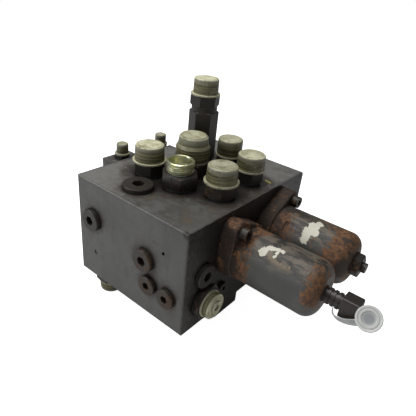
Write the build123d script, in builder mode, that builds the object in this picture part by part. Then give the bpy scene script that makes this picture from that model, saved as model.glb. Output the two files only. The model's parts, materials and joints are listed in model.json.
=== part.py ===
from build123d import *
from dataclasses import dataclass
import math
import os

# Swing valve block: a drilled steel manifold with capped stud couplings, collar plugs in its drilled
# galleries, a check valve fitting and two solenoid valves in domed steel housings on its right face.
# Millimetres. The origin is the centre of the block's machined bottom face. +X points along the
# valve housings, +Y to the block's rear and +Z up.

# Manifold block
block_x = 160.0
block_y = 210.0
block_z = 122.0
step_x = 25.0           # the left strip of the block ends short of the rear face
step_y = 68.6
edge_chamfer = 1.0
rear_chamfer = 3.0
port_floor_z = 92.0     # the vertical port drillings end here, above the valve cavities

# Clearances
fit_gap = 0.05          # radial gap of a running or located fit, and of a thread stand-in
seat_gap = 0.3          # gap where a loose piece rests near its seat
hole_gap = 0.4          # radial gap of a screw's clearance hole

# Mounting holes in the rear face, M12
mount_spacing_x = 90.0
mount_spacing_z = 84.0
mount_mid_x = 12.5
mount_mid_z = 61.0
mount_hole_r = 5.1
mount_hole_len = 22.0

# Places of the collar plugs
seal_thick = 1.5
top_plug_at = (-15.5, -77.0)
half_plug_left_at = (-56.0, 76.5)
half_plug_mid_at = (25.5, 66.5)
half_plug_right_at = (-76.5, 62.8)
small_plug_upper_at = (32.3, 38.7)
small_plug_lower_at = (58.2, 37.0)
tiny_plug_at = (-43.0, 28.5)
left_gallery_len = 115.5
right_gallery_len = 120.0
upper_gallery_len = 164.0
lower_gallery_len = 42.0
tiny_gallery_len = 80.0
side_drilling_len = 48.0
bottom_drilling_len = 61.0
pilot_drilling_len = 24.0
elbow_drilling_len = 32.0
dowel_hole_at = (50.6, 86.7)
dowel_hole_r = 2.0
dowel_hole_len = 8.0
dimple_at = (-53.0, 34.5)
dimple_r = 3.0
dimple_len = 0.8

# Places of the stud couplings
stud_seal = 2.0
open_stud_at = (8.4, -40.7)
left_stud_at = (-36.0, -42.0)
return_stud_at = (-7.0, -4.0)
rear_stud_at = (12.5, 39.4)
corner_stud_at = (51.0, 28.0)
front_stud_at = (50.0, -23.0)
side_stud_inset = (32.5, 28.6)
bottom_stud_inset = (28.0, 20.0)
check_valve_at = (-28.0, 36.0)
cone_angle = 12.0       # half angle of the sealing cone in a stud's mouth
hex_bevel = 0.55        # height of a hexagon's corner bevel per radial millimetre

# Plastic thread caps
cap_roof = 2.2
cap_rim = 1.6
cap_round = 2.2
small_cap_round = 1.2
side_cap_r = 14.2
side_boss_r = 7.4
side_dimple_r = 3.2
crown_foot_rise = 5.0
crown_top = 44.5
crown_r = 16.4
crown_wall = 1.3
return_cap_r = 19.4

# Check valve fitting
check_flats = 30.0
check_body_top = 60.0
check_neck_top = 66.0
check_neck_r = 15.0
check_port_r = 13.15
check_port_len = 16.0
check_inlet_r = 6.0
check_seat_z = 8.0
check_chamber_r = 9.0
check_thread_r = 11.0
check_lift = 4.0
check_turn = 37.0
poppet_len = 20.0
poppet_nose = 1.5
poppet_bore_end = 6.0

# Pilot block on the left face
pilot_x = 27.0
pilot_y = 39.5
pilot_z = 40.0
pilot_top = 118.0
pilot_mid_y = -31.5
pilot_stud_out = 13.3
pilot_bore_r = 2.5
pilot_screw_y = 13.0

# Pilot elbow on the left face
elbow_y = 29.5
elbow_out = 10.5
elbow_z = 103.0
elbow_leg_r = 7.0
elbow_top = 117.5
elbow_port_r = 4.8
elbow_port_len = 9.0
elbow_nut_flats = 19.0
elbow_nut_len = 5.0
elbow_nut_turn = 30.0

# Solenoid valves on the right face, lengths from that face
valve_y = {"front": -27.0, "rear": 40.5}
valve_z = 74.0
flange_r = 31.5
flange_boss_r = 10.5
flange_thick = 16.0
flange_screw_y = 16.5
flange_screw_z = 31.6
spigot_len = 3.0
housing_r = 29.0
housing_wall = 2.8
housing_len = 88.0
housing_round = 13.0
housing_mouth_r = 8.5
pocket_r = 8.0
pocket_len = 11.0
slot_angle = 48.0       # wrench slot beside the rear housing's foot, from the vertical
slot_x = 14.5
slot_len = 13.0
slot_width = 4.0
slot_deep = 1.6
mouth_r = 16.0
mouth_len = 20.0
cavity_r = 12.0
cavity_len = 70.0
core_r = 11.0
core_bore_r = 8.0
core_len = 90.0
pole_len = 12.0
armature_len = 34.0
coil_r = 25.5
coil_len = 64.0
spool_r = 6.0
spool_neck_r = 3.6
spool_top = -8.0
spool_len = 45.0
land_len = 7.0
push_room_r = 9.0
push_room_len = 10.0
pin_r = 2.0
spool_stroke = 4.0
sleeve_groove = 1.4
o_ring_r = 19.0
o_ring_wire = 1.4

# Connector on the front housing and screw plug on the rear one
neck_r = 7.2
neck_rib_r = 8.2
neck_rib = 2.4
neck_len = 18.0
connector_x = 16.0
connector_y = 16.5
connector_z = 21.0
connector_drop = -0.5
connector_socket_x = 10.0
connector_socket_z = 15.0
connector_socket_len = 10.0
terminal_r = 1.2
terminal_pitch = 6.5
terminal_len = 5.0
end_plug_flats = 22.0
end_plug_hex = 9.0
end_plug_tip = 4.7
end_plug_tip_r = 5.5
end_plug_turn = 10.0
dust_cap_r = 11.5
dust_cap_thick = 3.2
dust_cap_wall = 1.4
dust_cap_offset = (-11.5, 7.0, 26.5)
dust_cap_facing = (0.11, -0.77, 0.63)
strap_r = 1.5

# Springs
spring_wire = 0.75
spring_turns = 5

# Support foot under the right edge
foot_x = 40.0
foot_y = 44.0
foot_thick = 13.0
foot_mid_y = -28.0
foot_round = 3.0
foot_screw_y = 12.0


@dataclass
class Plug:
    """A collar screw plug with hexagon socket, and the gallery that it closes."""

    collar_r: float
    collar_len: float
    thread_r: float
    thread_len: float
    socket: float
    socket_len: float
    gallery_r: float


@dataclass
class Stud:
    """A straight stud coupling, and the threaded port that it needs in the block."""

    thread_r: float
    tube_r: float
    flats: float
    turn: float
    hex_len: float
    end_len: float
    port_r: float
    port_len: float
    bore_r: float

    @property
    def hex_top(self):
        return stud_seal + self.hex_len

    @property
    def rim(self):
        return self.hex_top + self.end_len


@dataclass
class Cap:
    """A push-on thread cap by its rim, its skirt's foot and its roof."""

    rim_r: float
    skirt_r: float
    top_r: float
    round_r: float


@dataclass
class Screw:
    """A socket head cap screw."""

    shank_r: float
    head_r: float
    head_len: float
    socket: float
    grip: float


top_plug = Plug(16.2, 3.5, 13.1, 16.0, 12.0, 9.0, 9.0)
half_plug = Plug(13.0, 3.5, 10.4, 14.0, 10.0, 8.0, 8.0)
small_plug = Plug(11.0, 3.0, 8.3, 12.0, 8.0, 7.0, 6.0)
tiny_plug = Plug(7.0, 2.5, 4.8, 8.0, 5.0, 5.0, 3.0)

open_stud = Stud(15.0, 11.0, 36.0, 14.0, 14.0, 13.6, 13.15, 16.0, 9.0)
left_stud = Stud(15.0, 11.0, 32.0, 20.0, 12.0, 17.0, 13.15, 16.0, 9.0)
front_stud = Stud(15.0, 11.0, 32.0, 8.0, 12.5, 16.6, 13.15, 16.0, 9.0)
return_stud = Stud(18.0, 14.0, 36.0, 30.0, 13.0, 15.0, 13.15, 16.0, 10.0)
rear_stud = Stud(13.0, 9.0, 27.0, 0.0, 14.0, 18.3, 10.4, 14.0, 7.0)
corner_stud = Stud(13.1, 9.5, 27.0, 15.0, 12.7, 15.8, 10.4, 14.0, 7.0)
side_stud = Stud(13.0, 9.0, 36.0, 0.0, 5.0, 7.0, 10.4, 14.0, 6.0)
bottom_stud = Stud(11.0, 7.5, 30.0, 0.0, 8.0, 12.5, 8.2, 12.0, 6.0)
pilot_stud = Stud(5.9, 3.0, 16.0, 10.0, 2.6, 11.0, 4.8, 8.0, 2.0)
check_end = Stud(13.0, 9.0, 30.0, 51.0, 10.0, 16.5, 10.95, 12.0, 6.0)

left_cap = Cap(18.5, 16.5, 15.8, cap_round)
front_cap = Cap(18.6, 16.5, 15.8, cap_round)
rear_cap = Cap(15.6, 14.7, 14.4, cap_round)
corner_cap = Cap(16.6, 15.6, 15.3, cap_round)
bottom_cap = Cap(14.5, 13.2, 12.9, cap_round)
check_cap = Cap(17.0, 14.5, 14.2, cap_round)
pilot_cap = Cap(9.2, 7.2, 7.0, small_cap_round)

flange_screw = Screw(4.0, 6.5, 8.0, 6.0, 14.0)
pilot_screw = Screw(3.0, 5.0, 6.0, 5.0, 12.0)
foot_screw = Screw(4.0, 6.5, 7.0, 6.0, 14.0)

os.makedirs("parts", exist_ok=True)

top_face = Plane(origin=(0, 0, block_z), x_dir=(1, 0, 0), z_dir=(0, 0, 1))
bottom_face = Plane(origin=(0, 0, 0), x_dir=(1, 0, 0), z_dir=(0, 0, -1))
front_face = Plane(origin=(0, -block_y / 2, 0), x_dir=(1, 0, 0), z_dir=(0, -1, 0))
rear_face = Plane(origin=(0, block_y / 2, 0), x_dir=(-1, 0, 0), z_dir=(0, 1, 0))
right_face = Plane(origin=(block_x / 2, 0, 0), x_dir=(0, 1, 0), z_dir=(1, 0, 0))
left_face = Plane(origin=(-block_x / 2, 0, 0), x_dir=(0, -1, 0), z_dir=(-1, 0, 0))


def at(face, place):
    """The seat plane at a place on a face, looking out of it."""
    return Plane(origin=face.from_local_coords((*place, 0)), x_dir=face.x_dir, z_dir=face.z_dir)


def section_of(seat):
    """The plane whose x is the radius from a seat's axis and whose y runs along that axis."""
    return Plane(origin=seat.origin, x_dir=seat.x_dir, z_dir=-seat.y_dir)


def axis_of(seat):
    return Axis(seat.origin, seat.z_dir)


def corner_r(flats):
    """The corner radius of a hexagon."""
    return flats / math.sqrt(3)


def keep(part, label):
    part.label = label
    export_step(part, f"parts/{label}.step")


def turned(seat, points):
    """A piece turned about a seat's axis from its (radius, height) outline."""
    with BuildPart() as piece:
        with BuildSketch(section_of(seat)):
            with BuildLine():
                Polyline(*points, close=True)
            make_face()
        revolve(axis=axis_of(seat))
    return piece.part


def drill(seat, radius, depth):
    """Cut a round hole from a seat plane into the piece being built."""
    with Locations(seat):
        Cylinder(radius, depth, align=(Align.CENTER, Align.CENTER, Align.MAX), mode=Mode.SUBTRACT)


def drill_plug_port(seat, plug, depth):
    """Cut the threaded mouth and the gallery behind a collar plug."""
    drill(seat, plug.thread_r + fit_gap, plug.thread_len + 1)
    drill(seat, plug.gallery_r, depth)


def drill_stud_port(seat, stud, depth):
    """Cut the threaded port and the drilling under a stud coupling."""
    drill(seat, stud.port_r + fit_gap, stud.port_len + 1)
    drill(seat, stud.bore_r, depth)


def make_plug(seat, plug):
    bevel = plug.collar_len * 0.25
    top = seal_thick + plug.collar_len
    with BuildPart() as piece:
        with BuildSketch(section_of(seat)):
            with BuildLine():
                Polyline(
                    (0, -plug.thread_len),
                    (plug.thread_r, -plug.thread_len),
                    (plug.thread_r, seal_thick),
                    (plug.collar_r, seal_thick),
                    (plug.collar_r, top - bevel),
                    (plug.collar_r - bevel, top),
                    (0, top),
                    close=True,
                )
            make_face()
        revolve(axis=axis_of(seat))
        with BuildSketch(seat.offset(top)):
            RegularPolygon(corner_r(plug.socket), 6)
        extrude(amount=-plug.socket_len, mode=Mode.SUBTRACT)
    return piece.part


def make_ring(seat, inner_r, outer_r, thick):
    with BuildPart() as piece:
        with BuildSketch(seat):
            Circle(outer_r)
            Circle(inner_r, mode=Mode.SUBTRACT)
        extrude(amount=thick)
    return piece.part


def make_stud(seat, stud, low=None):
    """Block thread, bevelled hexagon, union thread with relief groove, and a coned mouth."""
    base = stud_seal if low is None else low
    corner = corner_r(stud.flats)
    half = stud.flats / 2
    bevel = (corner - half) * hex_bevel
    relief = stud.hex_top + min(2.5, stud.end_len * 0.2)
    mouth = stud.tube_r * 1.12
    cone_base = stud.rim - (mouth - stud.tube_r) / math.tan(math.radians(cone_angle))
    tube_base = stud.rim - stud.end_len * 0.8
    with BuildPart() as piece:
        with BuildSketch(seat.offset(base)):
            RegularPolygon(corner, 6, rotation=stud.turn)
        extrude(amount=stud.hex_top - base)
        with BuildSketch(section_of(seat)):
            with BuildLine():
                Polyline(
                    (0, base),
                    (half, base),
                    (corner, base + bevel),
                    (corner, stud.hex_top - bevel),
                    (half, stud.hex_top),
                    (0, stud.hex_top),
                    close=True,
                )
            make_face()
        revolve(axis=axis_of(seat), mode=Mode.INTERSECT)
        with BuildSketch(section_of(seat)):
            with BuildLine():
                Polyline(
                    (0, -stud.port_len),
                    (stud.port_r, -stud.port_len),
                    (stud.port_r, base + bevel),
                    (0, base + bevel),
                    close=True,
                )
            make_face()
            with BuildLine():
                Polyline(
                    (0, stud.hex_top - bevel),
                    (stud.thread_r - 1.3, stud.hex_top - bevel),
                    (stud.thread_r - 1.3, relief),
                    (stud.thread_r, relief + 0.8),
                    (stud.thread_r, stud.rim - 0.9),
                    (stud.thread_r - 0.9, stud.rim),
                    (0, stud.rim),
                    close=True,
                )
            make_face()
        revolve(axis=axis_of(seat))
        with BuildSketch(section_of(seat)):
            with BuildLine():
                Polyline(
                    (0, -stud.port_len),
                    (stud.bore_r, -stud.port_len),
                    (stud.bore_r, tube_base),
                    (stud.tube_r, tube_base),
                    (stud.tube_r, cone_base),
                    (mouth, stud.rim),
                    (0, stud.rim),
                    close=True,
                )
            make_face()
        revolve(axis=axis_of(seat), mode=Mode.SUBTRACT)
    return piece.part


def make_cap(seat, stud, cap):
    """A push-on cap over a stud's thread: thin rim, slightly tapered skirt and a rounded roof."""
    inner_r = stud.thread_r + seat_gap
    foot = stud.hex_top + seat_gap
    room = stud.rim + seat_gap
    top = room + cap_roof
    with BuildPart() as piece:
        with BuildSketch(section_of(seat)):
            with BuildLine():
                Polyline(
                    (0, top),
                    (0, room),
                    (inner_r, room),
                    (inner_r, foot),
                    (cap.rim_r, foot),
                    (cap.rim_r, foot + cap_rim),
                    (cap.skirt_r, foot + cap_rim),
                    (cap.top_r, top - cap.round_r),
                )
                RadiusArc((cap.top_r, top - cap.round_r), (cap.top_r - cap.round_r, top), -cap.round_r)
                Line((cap.top_r - cap.round_r, top), (0, top))
            make_face()
        revolve(axis=axis_of(seat))
    return piece.part


def make_screw(seat, screw, through):
    """A cap screw whose head sits on the seat plane and whose shank goes down through a piece."""
    with BuildPart() as piece:
        with BuildSketch(seat):
            Circle(screw.head_r)
        extrude(amount=screw.head_len)
        with BuildSketch(seat):
            Circle(screw.shank_r)
        extrude(amount=-(through + screw.grip))
        with BuildSketch(seat.offset(screw.head_len)):
            RegularPolygon(corner_r(screw.socket), 6)
        extrude(amount=-screw.head_len * 0.5, mode=Mode.SUBTRACT)
    return piece.part


def make_spring(seat, coil_r, low, high):
    """A compression spring between two heights over a seat."""
    rise = high - low - 2 * spring_wire
    foot = seat.offset(low + spring_wire).origin
    mean_r = coil_r - spring_wire
    with BuildPart() as piece:
        with BuildLine():
            wire = Helix(rise / spring_turns, rise, mean_r, center=foot, direction=seat.z_dir)
        with BuildSketch(Plane(origin=wire @ 0, z_dir=wire % 0)):
            RegularPolygon(spring_wire, 6)
        sweep(path=wire, is_frenet=True)
    return piece.part


# Seats of the plugs, studs and valves
half_plug_seats = [
    at(front_face, half_plug_left_at),
    at(front_face, half_plug_mid_at),
    at(right_face, half_plug_right_at),
]
small_plug_seats = [at(front_face, small_plug_upper_at), at(front_face, small_plug_lower_at)]
top_plug_seat = at(top_face, top_plug_at)
tiny_plug_seat = at(right_face, tiny_plug_at)
plug_seats = [(top_plug_seat, top_plug), (tiny_plug_seat, tiny_plug)]
plug_seats += [(seat, half_plug) for seat in half_plug_seats]
plug_seats += [(seat, small_plug) for seat in small_plug_seats]

open_seat = at(top_face, open_stud_at)
left_seat = at(top_face, left_stud_at)
front_seat = at(top_face, front_stud_at)
return_seat = at(top_face, return_stud_at)
rear_seat = at(top_face, rear_stud_at)
corner_seat = at(top_face, corner_stud_at)
side_seat = at(right_face, (side_stud_inset[0] - block_y / 2, side_stud_inset[1]))
bottom_stud_at = (bottom_stud_inset[0] - block_x / 2, block_y / 2 - bottom_stud_inset[1])
bottom_seat = at(bottom_face, bottom_stud_at)
check_seat = at(top_face, check_valve_at)
top_stud_seats = [
    (open_seat, open_stud),
    (left_seat, left_stud),
    (front_seat, front_stud),
    (return_seat, return_stud),
    (rear_seat, rear_stud),
    (corner_seat, corner_stud),
]
port_depth = block_z - port_floor_z

pilot_seat = Plane(
    origin=(-block_x / 2 - pilot_stud_out, pilot_mid_y, pilot_top),
    x_dir=(1, 0, 0),
    z_dir=(0, 0, 1),
)
pilot_mid_z = pilot_top - pilot_z / 2
pilot_screw_seats = [
    at(left_face.offset(pilot_x), (-pilot_mid_y + side * pilot_screw_y, pilot_mid_z))
    for side in (-1, 1)
]
elbow_x = -block_x / 2 - elbow_out
elbow_seat = Plane(origin=(elbow_x, elbow_y, elbow_top), x_dir=(1, 0, 0), z_dir=(0, 0, 1))
elbow_port = at(left_face, (-elbow_y, elbow_z))
elbow_bore = at(right_face.offset(elbow_port_len - block_x), (elbow_y, elbow_z))

valve_seats = {end: at(right_face, (y, valve_z)) for end, y in valve_y.items()}
flange_screw_spots = {
    "front": [(-flange_screw_y, flange_screw_z), (flange_screw_y, -flange_screw_z)],
    "rear": [(flange_screw_y, flange_screw_z), (-flange_screw_y, -flange_screw_z)],
}
foot_seat = at(bottom_face, (block_x / 2 - foot_x / 2, -foot_mid_y))
foot_screw_spots = [(0, -foot_screw_y), (0, foot_screw_y)]
mount_seats = [
    at(rear_face, (-mount_mid_x + i * mount_spacing_x / 2, mount_mid_z + j * mount_spacing_z / 2))
    for i in (-1, 1)
    for j in (-1, 1)
]


# Manifold block
with BuildPart() as manifold_block:
    with BuildSketch(Plane.XY):
        Rectangle(block_x, block_y)
        with Locations((-block_x / 2, block_y / 2)):
            Rectangle(step_x, step_y, align=(Align.MIN, Align.MAX), mode=Mode.SUBTRACT)
    extrude(amount=block_z)
    rear_edge = manifold_block.edges().filter_by(Axis.X).group_by(Axis.Y)[-1].sort_by(Axis.Z)[-1]
    chamfer(rear_edge, length=rear_chamfer)
    chamfer(manifold_block.faces().sort_by(Axis.Y)[0].edges(), length=edge_chamfer)
    drill_plug_port(top_plug_seat, top_plug, block_z - half_plug_right_at[1])
    drill_plug_port(half_plug_seats[0], half_plug, left_gallery_len)
    drill_plug_port(half_plug_seats[1], half_plug, block_y / 2 + valve_y["front"] - cavity_r / 2)
    drill_plug_port(half_plug_seats[2], half_plug, right_gallery_len)
    drill_plug_port(small_plug_seats[0], small_plug, upper_gallery_len)
    drill_plug_port(small_plug_seats[1], small_plug, lower_gallery_len)
    drill_plug_port(tiny_plug_seat, tiny_plug, tiny_gallery_len)
    for seat, stud in top_stud_seats:
        drill_stud_port(seat, stud, port_depth)
    drill_stud_port(side_seat, side_stud, side_drilling_len)
    drill_stud_port(bottom_seat, bottom_stud, bottom_drilling_len)
    drill(check_seat, check_port_r + fit_gap, check_port_len + 1)
    drill(check_seat, check_inlet_r, port_depth)
    for end, seat in valve_seats.items():
        drill(seat, mouth_r, mouth_len)
        drill(seat, cavity_r, cavity_len)
        for spot in flange_screw_spots[end]:
            drill(at(seat, spot), flange_screw.shank_r + fit_gap, flange_screw.grip + 1)
    for seat in pilot_screw_seats:
        drill(seat, pilot_screw.shank_r + fit_gap, pilot_x + pilot_screw.grip + 1)
    drill(at(left_face, (-pilot_mid_y, pilot_mid_z)), pilot_bore_r, pilot_drilling_len)
    drill(elbow_port, elbow_port_r + fit_gap, elbow_port_len + 1)
    drill(elbow_port, pilot_stud.bore_r, elbow_drilling_len)
    for spot in foot_screw_spots:
        drill(at(foot_seat, spot), foot_screw.shank_r + fit_gap, foot_screw.grip + 1)
    for seat in mount_seats:
        drill(seat, mount_hole_r, mount_hole_len)
    drill(at(front_face, dowel_hole_at), dowel_hole_r, dowel_hole_len)
    drill(at(front_face, dimple_at), dimple_r, dimple_len)
keep(manifold_block.part, "manifold_block")

# Collar plugs and their seal rings
keep(make_plug(top_plug_seat, top_plug), "top_port_plug")
with BuildPart() as half_inch_plugs:
    for seat in half_plug_seats:
        add(make_plug(seat, half_plug))
keep(half_inch_plugs.part, "half_inch_plugs")
with BuildPart() as three_eighths_plugs:
    for seat in small_plug_seats:
        add(make_plug(seat, small_plug))
keep(three_eighths_plugs.part, "three_eighths_plugs")
keep(make_plug(tiny_plug_seat, tiny_plug), "pilot_gallery_plug")
with BuildPart() as plug_seal_rings:
    for seat, plug in plug_seats:
        add(make_ring(seat, plug.thread_r + seat_gap, plug.collar_r - 0.7, seal_thick))
keep(plug_seal_rings.part, "plug_seal_rings")

# Stud couplings on the block and their seal rings
studs = {
    "port_b_stud": (open_seat, open_stud),
    "port_a_stud": (left_seat, left_stud),
    "port_d_stud": (front_seat, front_stud),
    "port_t_stud": (return_seat, return_stud),
    "port_p_stud": (rear_seat, rear_stud),
    "port_c_stud": (corner_seat, corner_stud),
    "side_stud": (side_seat, side_stud),
    "bottom_stud": (bottom_seat, bottom_stud),
}
for label, (seat, stud) in studs.items():
    keep(make_stud(seat, stud), label)
with BuildPart() as stud_seal_rings:
    for seat, stud in studs.values():
        add(make_ring(seat, stud.port_r + seat_gap, stud.flats / 2 - 0.6, stud_seal))
    add(make_ring(check_seat, check_port_r + seat_gap, check_flats / 2 - 0.3, stud_seal))
keep(stud_seal_rings.part, "stud_seal_rings")

# Plastic caps
keep(make_cap(left_seat, left_stud, left_cap), "port_a_cap")
keep(make_cap(front_seat, front_stud, front_cap), "port_d_cap")
keep(make_cap(rear_seat, rear_stud, rear_cap), "port_p_cap")
keep(make_cap(corner_seat, corner_stud, corner_cap), "port_c_cap")
keep(make_cap(bottom_seat, bottom_stud, bottom_cap), "bottom_stud_cap")

# The large port's cap narrows to a crown above the thread
crown_foot = return_stud.rim + crown_foot_rise
return_inner_r = return_stud.thread_r + seat_gap
return_foot = return_stud.hex_top + seat_gap
with BuildPart() as port_t_cap:
    with BuildSketch(section_of(return_seat)):
        with BuildLine():
            Polyline(
                (return_inner_r, return_foot),
                (return_cap_r, return_foot),
                (return_cap_r, return_foot + cap_rim),
                (return_inner_r + 0.8, return_stud.rim + 1.5),
                (crown_r + 0.7, crown_foot),
                (crown_r - 0.4, crown_top - 2),
                (crown_r - 2.2, crown_top),
                (0, crown_top),
                (0, crown_top - cap_roof),
                (crown_r - 0.4 - crown_wall, crown_top - cap_roof),
                (crown_r + 0.7 - crown_wall, crown_foot - 0.6),
                (return_inner_r, return_stud.rim + seat_gap),
                close=True,
            )
        make_face()
    revolve(axis=axis_of(return_seat))
keep(port_t_cap.part, "port_t_cap")

# The side cap has a raised boss with a dimple
side_inner_r = side_stud.thread_r + seat_gap
side_room = side_stud.rim + seat_gap
side_foot = side_stud.hex_top + seat_gap
side_roof = side_room + 1.4
keep(
    turned(
        side_seat,
        [
            (0, side_room),
            (side_inner_r, side_room),
            (side_inner_r, side_foot),
            (side_cap_r + 1.2, side_foot),
            (side_cap_r + 1.2, side_foot + 1.2),
            (side_cap_r, side_foot + 1.2),
            (side_cap_r, side_roof - 0.8),
            (side_cap_r - 0.8, side_roof),
            (side_boss_r, side_roof),
            (side_boss_r - 0.5, side_roof + 2),
            (side_dimple_r + 0.5, side_roof + 2),
            (side_dimple_r, side_roof),
            (0, side_roof),
        ],
    ),
    "side_stud_cap",
)

# Check valve fitting
end_base = check_neck_top
with BuildPart() as check_valve_body:
    with BuildSketch(check_seat.offset(stud_seal)):
        RegularPolygon(corner_r(check_flats), 6, rotation=check_turn)
    extrude(amount=check_body_top - stud_seal)
    hex_edges = check_valve_body.faces().sort_by(Axis.Z)[-1].edges()
    chamfer(hex_edges, length=0.8)
    with BuildSketch(check_seat.offset(-check_port_len)):
        Circle(check_port_r)
    extrude(amount=check_port_len + stud_seal)
    with BuildSketch(check_seat.offset(check_body_top)):
        Circle(check_neck_r)
    extrude(amount=check_neck_top - check_body_top)
    drill(check_seat.offset(check_neck_top), check_thread_r, check_end.port_len)
    drill(check_seat.offset(check_neck_top), check_chamber_r, check_neck_top - check_seat_z)
    drill(check_seat.offset(check_seat_z), check_inlet_r, check_seat_z + check_port_len)
keep(check_valve_body.part, "check_valve_body")

check_end_seat = check_seat.offset(check_neck_top)
keep(make_stud(check_end_seat, check_end, low=0.0), "check_valve_end_stud")
keep(make_cap(check_end_seat, check_end, check_cap), "check_valve_cap")

poppet_r = check_chamber_r - fit_gap
poppet_top = check_seat_z + poppet_len
nose_r = check_inlet_r - 0.3
keep(
    turned(
        check_seat,
        [
            (0, check_seat_z - poppet_nose),
            (nose_r - poppet_nose, check_seat_z - poppet_nose),
            (poppet_r, check_seat_z + poppet_r - nose_r),
            (poppet_r, poppet_top),
            (check_inlet_r, poppet_top),
            (check_inlet_r, check_seat_z + poppet_bore_end),
            (0, check_seat_z + poppet_bore_end),
        ],
    ),
    "check_poppet",
)
check_spring_r = check_chamber_r - 0.5
check_spring_top = check_neck_top - check_end.port_len - seat_gap
keep(
    make_spring(check_seat, check_spring_r, poppet_top + seat_gap, check_spring_top),
    "check_spring",
)

# Pilot block with its two screws and stud
with BuildPart() as pilot_block:
    with BuildSketch(Plane.XY.offset(pilot_top - pilot_z)):
        with Locations((-block_x / 2, pilot_mid_y)):
            Rectangle(pilot_x, pilot_y, align=(Align.MAX, Align.CENTER))
    extrude(amount=pilot_z)
    chamfer(pilot_block.faces().sort_by(Axis.X)[0].edges(), length=edge_chamfer)
    for seat in pilot_screw_seats:
        drill(seat, pilot_screw.head_r + hole_gap, pilot_screw.head_len)
        drill(seat, pilot_screw.shank_r + hole_gap, pilot_x)
    drill_stud_port(pilot_seat, pilot_stud, pilot_z / 2)
    drill(at(left_face.offset(pilot_x / 2), (-pilot_mid_y, pilot_mid_z)), pilot_bore_r, pilot_x / 2)
keep(pilot_block.part, "pilot_block")
with BuildPart() as pilot_block_screws:
    for seat in pilot_screw_seats:
        add(make_screw(seat.offset(-pilot_screw.head_len), pilot_screw, pilot_x - pilot_screw.head_len))
keep(pilot_block_screws.part, "pilot_block_screws")
keep(make_stud(pilot_seat, pilot_stud, low=0.0), "pilot_stud")
keep(make_cap(pilot_seat, pilot_stud, pilot_cap), "pilot_stud_cap")

# Pilot elbow screwed into the left face
with BuildPart() as pilot_elbow:
    with BuildSketch(left_face):
        with Locations((-elbow_y, elbow_z)):
            RegularPolygon(corner_r(elbow_nut_flats), 6, rotation=elbow_nut_turn)
    extrude(amount=elbow_nut_len)
    with BuildSketch(elbow_port.offset(-elbow_port_len)):
        Circle(elbow_port_r)
    extrude(amount=elbow_port_len)
    with BuildSketch(elbow_port):
        Circle(elbow_leg_r - 0.8)
    extrude(amount=elbow_out)
    with BuildSketch(elbow_seat):
        Circle(elbow_leg_r)
    extrude(amount=elbow_z - elbow_top)
    with Locations((elbow_x, elbow_y, elbow_z)):
        Sphere(elbow_leg_r)
    add(make_stud(elbow_seat, pilot_stud, low=0.0))
    drill(elbow_seat.offset(pilot_stud.rim), pilot_stud.bore_r, pilot_stud.rim + elbow_top - elbow_z)
    drill(elbow_bore, pilot_stud.bore_r, elbow_port_len + elbow_out)
keep(pilot_elbow.part, "pilot_elbow")
keep(make_cap(elbow_seat, pilot_stud, pilot_cap), "pilot_elbow_cap")

# Solenoid valves
flange_top = flange_thick
coil_foot = flange_top + spigot_len
housing_end = flange_top + housing_len
inner_r = housing_r - housing_wall
armature_foot = pole_len + spool_stroke + seat_gap
armature_top = armature_foot + armature_len
spool_tail = spool_top - spool_len
sleeve_end = -cavity_len + seat_gap


def make_flange(seat, spots):
    """Two-bolt flange with a centre bore, a spigot for the housing and a seal groove."""
    with BuildPart() as piece:
        with BuildSketch(seat):
            Circle(flange_r)
            with Locations(*spots):
                Circle(flange_boss_r)
            make_hull()
        extrude(amount=flange_thick)
        chamfer(piece.faces().sort_by(Axis.X)[-1].edges(), length=edge_chamfer)
        with BuildSketch(seat.offset(flange_top)):
            Circle(inner_r - fit_gap)
        extrude(amount=spigot_len)
        drill(seat.offset(coil_foot), core_r + fit_gap, coil_foot)
        for spot in spots:
            drill(at(seat.offset(flange_top), spot), flange_screw.shank_r + hole_gap, flange_top)
        with BuildSketch(seat):
            Circle(o_ring_r + o_ring_wire)
            Circle(o_ring_r - o_ring_wire, mode=Mode.SUBTRACT)
        extrude(amount=2 * o_ring_wire, mode=Mode.SUBTRACT)
    return piece.part


def make_housing(seat, spots):
    """Domed tube with a mouth in its end and pockets that clear the flange screws."""
    with BuildPart() as piece:
        with BuildSketch(section_of(seat)):
            with BuildLine():
                Polyline(
                    (housing_mouth_r, housing_end - housing_wall),
                    (inner_r - housing_round + housing_wall, housing_end - housing_wall),
                )
                RadiusArc(
                    (inner_r - housing_round + housing_wall, housing_end - housing_wall),
                    (inner_r, housing_end - housing_round),
                    housing_round - housing_wall,
                )
                Polyline(
                    (inner_r, housing_end - housing_round),
                    (inner_r, flange_top),
                    (housing_r, flange_top),
                    (housing_r, housing_end - housing_round),
                )
                RadiusArc(
                    (housing_r, housing_end - housing_round),
                    (housing_r - housing_round, housing_end),
                    -housing_round,
                )
                Polyline(
                    (housing_r - housing_round, housing_end),
                    (housing_mouth_r, housing_end),
                    (housing_mouth_r, housing_end - housing_wall),
                )
            make_face()
        revolve(axis=axis_of(seat))
        for spot in spots:
            drill(at(seat.offset(flange_top + pocket_len), spot), pocket_r, pocket_len)
    return piece.part


def make_sleeve(seat):
    """Valve sleeve with a head in the cavity's mouth, a spool bore and ring-shaped port grooves."""
    body_r = cavity_r - fit_gap
    outline = [(spool_r + fit_gap, sleeve_end), (body_r, sleeve_end)]
    for i in range(3):
        low = spool_tail + 4 + i * 2 * land_len
        outline += [
            (body_r, low),
            (body_r - sleeve_groove, low),
            (body_r - sleeve_groove, low + land_len / 2),
            (body_r, low + land_len / 2),
        ]
    outline += [
        (body_r, -mouth_len),
        (mouth_r - fit_gap, -mouth_len),
        (mouth_r - fit_gap, 0),
        (push_room_r, 0),
        (push_room_r, -push_room_len),
        (spool_r + fit_gap, -push_room_len),
    ]
    return turned(seat, outline)


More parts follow.
